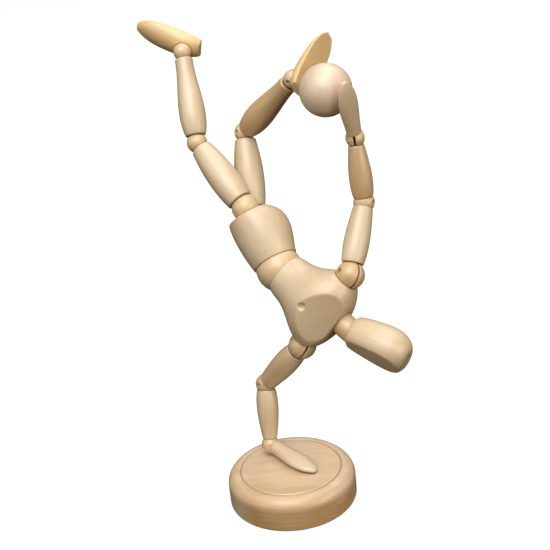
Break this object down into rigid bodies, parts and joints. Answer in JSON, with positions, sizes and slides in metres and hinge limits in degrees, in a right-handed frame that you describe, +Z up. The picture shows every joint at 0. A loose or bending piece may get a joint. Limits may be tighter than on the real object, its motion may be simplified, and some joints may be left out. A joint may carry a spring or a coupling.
{
  "type": "artist mannequin",
  "caption": "Jointed wooden artist figure in a one-handed handstand on a round base, holding a wooden ball between its raised hand and one foot.",
  "frame": {"origin": "centre of the round base, at its underside", "axes": "+Z up; +Y away from the side the figure is looked at from; +X to the right of that view"},
  "size_m": [0.1534, 0.1644, 0.3032],
  "materials": {
    "figure_wood": "satin lacquer",
    "bead_wood": "satin lacquer",
    "foot_wood": "satin lacquer",
    "ball_wood": "satin lacquer",
    "base_wood": "satin lacquer",
    "pin_steel": "drawn",
    "spring_steel": "drawn",
    "screw_steel": "plated"
  },
  "bodies": {
    "base": {"base_disc": "base_wood", "base_screw": "screw_steel", "left_hand": "figure_wood"},
    "left_forearm": {"left_forearm": "figure_wood", "left_forearm_spring": "spring_steel"},
    "left_upper_arm": {"left_upper_arm": "figure_wood", "left_upper_arm_spring": "spring_steel"},
    "right_upper_arm": {"right_upper_arm": "figure_wood", "right_upper_arm_spring": "spring_steel"},
    "right_forearm": {"right_forearm": "figure_wood", "right_forearm_spring": "spring_steel"},
    "right_thigh": {"right_thigh": "figure_wood", "right_thigh_spring": "spring_steel"},
    "right_shin": {"right_shin": "figure_wood", "right_shin_spring": "spring_steel"},
    "left_thigh": {"left_thigh": "figure_wood", "left_thigh_spring": "spring_steel"},
    "left_shin": {"left_shin": "figure_wood", "left_shin_spring": "spring_steel"},
    "chest": {"chest": "figure_wood", "chest_spring": "spring_steel"},
    "pelvis": {"pelvis": "figure_wood", "pelvis_spring": "spring_steel"},
    "neck": {"neck": "bead_wood", "neck_link": "pin_steel"},
    "head": {"head": "figure_wood", "head_eye": "spring_steel"},
    "right_hand": {"right_hand": "figure_wood", "right_hand_eye": "spring_steel", "held_ball": "ball_wood"},
    "left_foot": {"left_foot": "foot_wood", "left_foot_eye": "spring_steel"},
    "right_foot": {"right_foot": "foot_wood", "right_foot_eye": "spring_steel"},
    "left_wrist_bead": {"left_wrist_bead": "bead_wood", "left_wrist_link": "pin_steel"},
    "left_elbow_bead": {"left_elbow_bead": "bead_wood", "left_elbow_link": "pin_steel"},
    "left_shoulder_bead": {"left_shoulder_bead": "bead_wood", "left_shoulder_link": "pin_steel"},
    "right_shoulder_bead": {"right_shoulder_bead": "bead_wood", "right_shoulder_link": "pin_steel"},
    "right_elbow_bead": {"right_elbow_bead": "bead_wood", "right_elbow_link": "pin_steel"},
    "right_wrist_bead": {"right_wrist_bead": "bead_wood", "right_wrist_link": "pin_steel"},
    "waist_bead": {"waist_bead": "bead_wood", "waist_link": "pin_steel"},
    "right_hip_bead": {"right_hip_bead": "bead_wood", "right_hip_link": "pin_steel"},
    "right_knee_bead": {"right_knee_bead": "bead_wood", "right_knee_link": "pin_steel"},
    "right_ankle_bead": {"right_ankle_bead": "bead_wood", "right_ankle_link": "pin_steel"},
    "left_hip_bead": {"left_hip_bead": "bead_wood", "left_hip_link": "pin_steel"},
    "left_knee_bead": {"left_knee_bead": "bead_wood", "left_knee_link": "pin_steel"},
    "left_ankle_bead": {"left_ankle_bead": "bead_wood", "left_ankle_link": "pin_steel"}
  },
  "joints": [
    {"name": "left_wrist_swivel", "type": "hinge", "parent": "base", "child": "left_wrist_bead", "pos_m": [-0.012, 0.0165, 0.0295], "axis": [0.6861, -0.7105, -0.1564], "range_deg": [-30, 30]},
    {"name": "left_wrist_bend", "type": "hinge", "parent": "left_wrist_bead", "child": "left_forearm", "pos_m": [-0.012, 0.0165, 0.0295], "axis": [0.6717, 0.7012, -0.2389], "range_deg": [-16, 14]},
    {"name": "left_elbow_swivel", "type": "hinge", "parent": "left_forearm", "child": "left_elbow_bead", "pos_m": [-0.01085, 0.02873, 0.06862], "axis": [-0.0279, -0.2983, -0.9541], "range_deg": [-30, 30]},
    {"name": "left_elbow_bend", "type": "hinge", "parent": "left_elbow_bead", "child": "left_upper_arm", "pos_m": [-0.01085, 0.02873, 0.06862], "axis": [0.7336, 0.6421, -0.2223], "range_deg": [-20, 7]},
    {"name": "left_shoulder_swivel", "type": "hinge", "parent": "left_upper_arm", "child": "left_shoulder_bead", "pos_m": [0.01573, 0.01012, 0.10261], "axis": [-0.5657, 0.3959, -0.7233], "range_deg": [-30, 30]},
    {"name": "left_shoulder_bend", "type": "hinge", "parent": "left_shoulder_bead", "child": "chest", "pos_m": [0.01573, 0.01012, 0.10261], "axis": [-0.8187, -0.1653, 0.5499], "range_deg": [-20, 20]},
    {"name": "right_shoulder_swivel", "type": "hinge", "parent": "chest", "child": "right_shoulder_bead", "pos_m": [0.04884, 0.00249, 0.14962], "axis": [0.5708, -0.1316, 0.8104], "range_deg": [0, 30]},
    {"name": "right_shoulder_bend", "type": "hinge", "parent": "right_shoulder_bead", "child": "right_upper_arm", "pos_m": [0.04884, 0.00249, 0.14962], "axis": [-0.7919, -0.3488, 0.5012], "range_deg": [-20, 0]},
    {"name": "right_elbow_swivel", "type": "hinge", "parent": "right_upper_arm", "child": "right_elbow_bead", "pos_m": [0.06285, 0.02578, 0.18796], "axis": [0.298, 0.4956, 0.8158], "range_deg": [0, 30]},
    {"name": "right_elbow_bend", "type": "hinge", "parent": "right_elbow_bead", "child": "right_forearm", "pos_m": [0.06285, 0.02578, 0.18796], "axis": [0.809, -0.5848, 0.0598], "range_deg": [-2.5, 20]},
    {"name": "right_wrist_swivel", "type": "hinge", "parent": "right_forearm", "child": "right_wrist_bead", "pos_m": [0.06011, 0.02617, 0.22887], "axis": [-0.0669, 0.0094, 0.9977], "range_deg": [0, 30]},
    {"name": "right_wrist_bend", "type": "hinge", "parent": "right_wrist_bead", "child": "right_hand", "pos_m": [0.06011, 0.02617, 0.22887], "axis": [-0.9766, 0.2043, -0.0674], "range_deg": [-20, 0]},
    {"name": "neck_swivel", "type": "hinge", "parent": "chest", "child": "neck", "pos_m": [0.04608, -0.00316, 0.11487], "axis": [0.6225, -0.5743, -0.5317], "range_deg": [-30, 30]},
    {"name": "neck_bend", "type": "hinge", "parent": "neck", "child": "head", "pos_m": [0.04608, -0.00316, 0.11487], "axis": [-0.4395, -0.8187, 0.3696], "range_deg": [-20, 0]},
    {"name": "waist_swivel", "type": "hinge", "parent": "chest", "child": "waist_bead", "pos_m": [0.00615, 0.03042, 0.14845], "axis": [-0.6225, 0.5743, 0.5317], "range_deg": [0, 30]},
    {"name": "waist_bend", "type": "hinge", "parent": "waist_bead", "child": "pelvis", "pos_m": [0.00615, 0.03042, 0.14845], "axis": [0.3694, 0.8146, -0.4473], "range_deg": [-20, 0]},
    {"name": "right_hip_swivel", "type": "hinge", "parent": "pelvis", "child": "right_hip_bead", "pos_m": [-0.01118, 0.04689, 0.18615], "axis": [-0.3809, 0.4161, 0.8257], "range_deg": [-10, 30]},
    {"name": "right_hip_bend", "type": "hinge", "parent": "right_hip_bead", "child": "right_thigh", "pos_m": [-0.01118, 0.04689, 0.18615], "axis": [-0.691, -0.7215, 0.0449], "range_deg": [-20, 12]},
    {"name": "right_knee_swivel", "type": "hinge", "parent": "right_thigh", "child": "right_knee_bead", "pos_m": [-0.03868, 0.07568, 0.22553], "axis": [-0.4911, 0.5141, 0.7032], "range_deg": [-30, 30]},
    {"name": "right_knee_bend", "type": "hinge", "parent": "right_knee_bead", "child": "right_shin", "pos_m": [-0.03868, 0.07568, 0.22553], "axis": [0.3472, 0.8559, -0.3832], "range_deg": [-20, 20]},
    {"name": "right_ankle_swivel", "type": "hinge", "parent": "right_shin", "child": "right_ankle_bead", "pos_m": [-0.04231, 0.10219, 0.28145], "axis": [0.0585, -0.4276, -0.902], "range_deg": [-30, 30]},
    {"name": "right_ankle_bend", "type": "hinge", "parent": "right_ankle_bead", "child": "right_foot", "pos_m": [-0.04231, 0.10219, 0.28145], "axis": [-0.7377, 0.5902, -0.3277], "range_deg": [-20, 20]},
    {"name": "left_hip_swivel", "type": "hinge", "parent": "pelvis", "child": "left_hip_bead", "pos_m": [-0.00689, 0.06334, 0.17562], "axis": [-0.3065, 0.7019, 0.6429], "range_deg": [-2, 0]},
    {"name": "left_hip_bend", "type": "hinge", "parent": "left_hip_bead", "child": "left_thigh", "pos_m": [-0.00689, 0.06334, 0.17562], "axis": [0.7945, 0.5607, -0.2334], "range_deg": [-20, 0]},
    {"name": "left_knee_swivel", "type": "hinge", "parent": "left_thigh", "child": "left_knee_bead", "pos_m": [-0.00707, 0.08509, 0.22723], "axis": [-0.0032, 0.3883, 0.9215], "range_deg": [-30, 0]},
    {"name": "left_knee_bend", "type": "hinge", "parent": "left_knee_bead", "child": "left_shin", "pos_m": [-0.00707, 0.08509, 0.22723], "axis": [0.8152, 0.5348, -0.2224], "range_deg": [-20, 0]},
    {"name": "left_ankle_swivel", "type": "hinge", "parent": "left_shin", "child": "left_ankle_bead", "pos_m": [0.02681, 0.04893, 0.26449], "axis": [-0.5466, 0.5832, -0.6009], "range_deg": [-4, 30]},
    {"name": "left_ankle_bend", "type": "hinge", "parent": "left_ankle_bead", "child": "left_foot", "pos_m": [0.02681, 0.04893, 0.26449], "axis": [0.6101, 0.7689, 0.1912], "range_deg": [0, 20]}
  ]
}
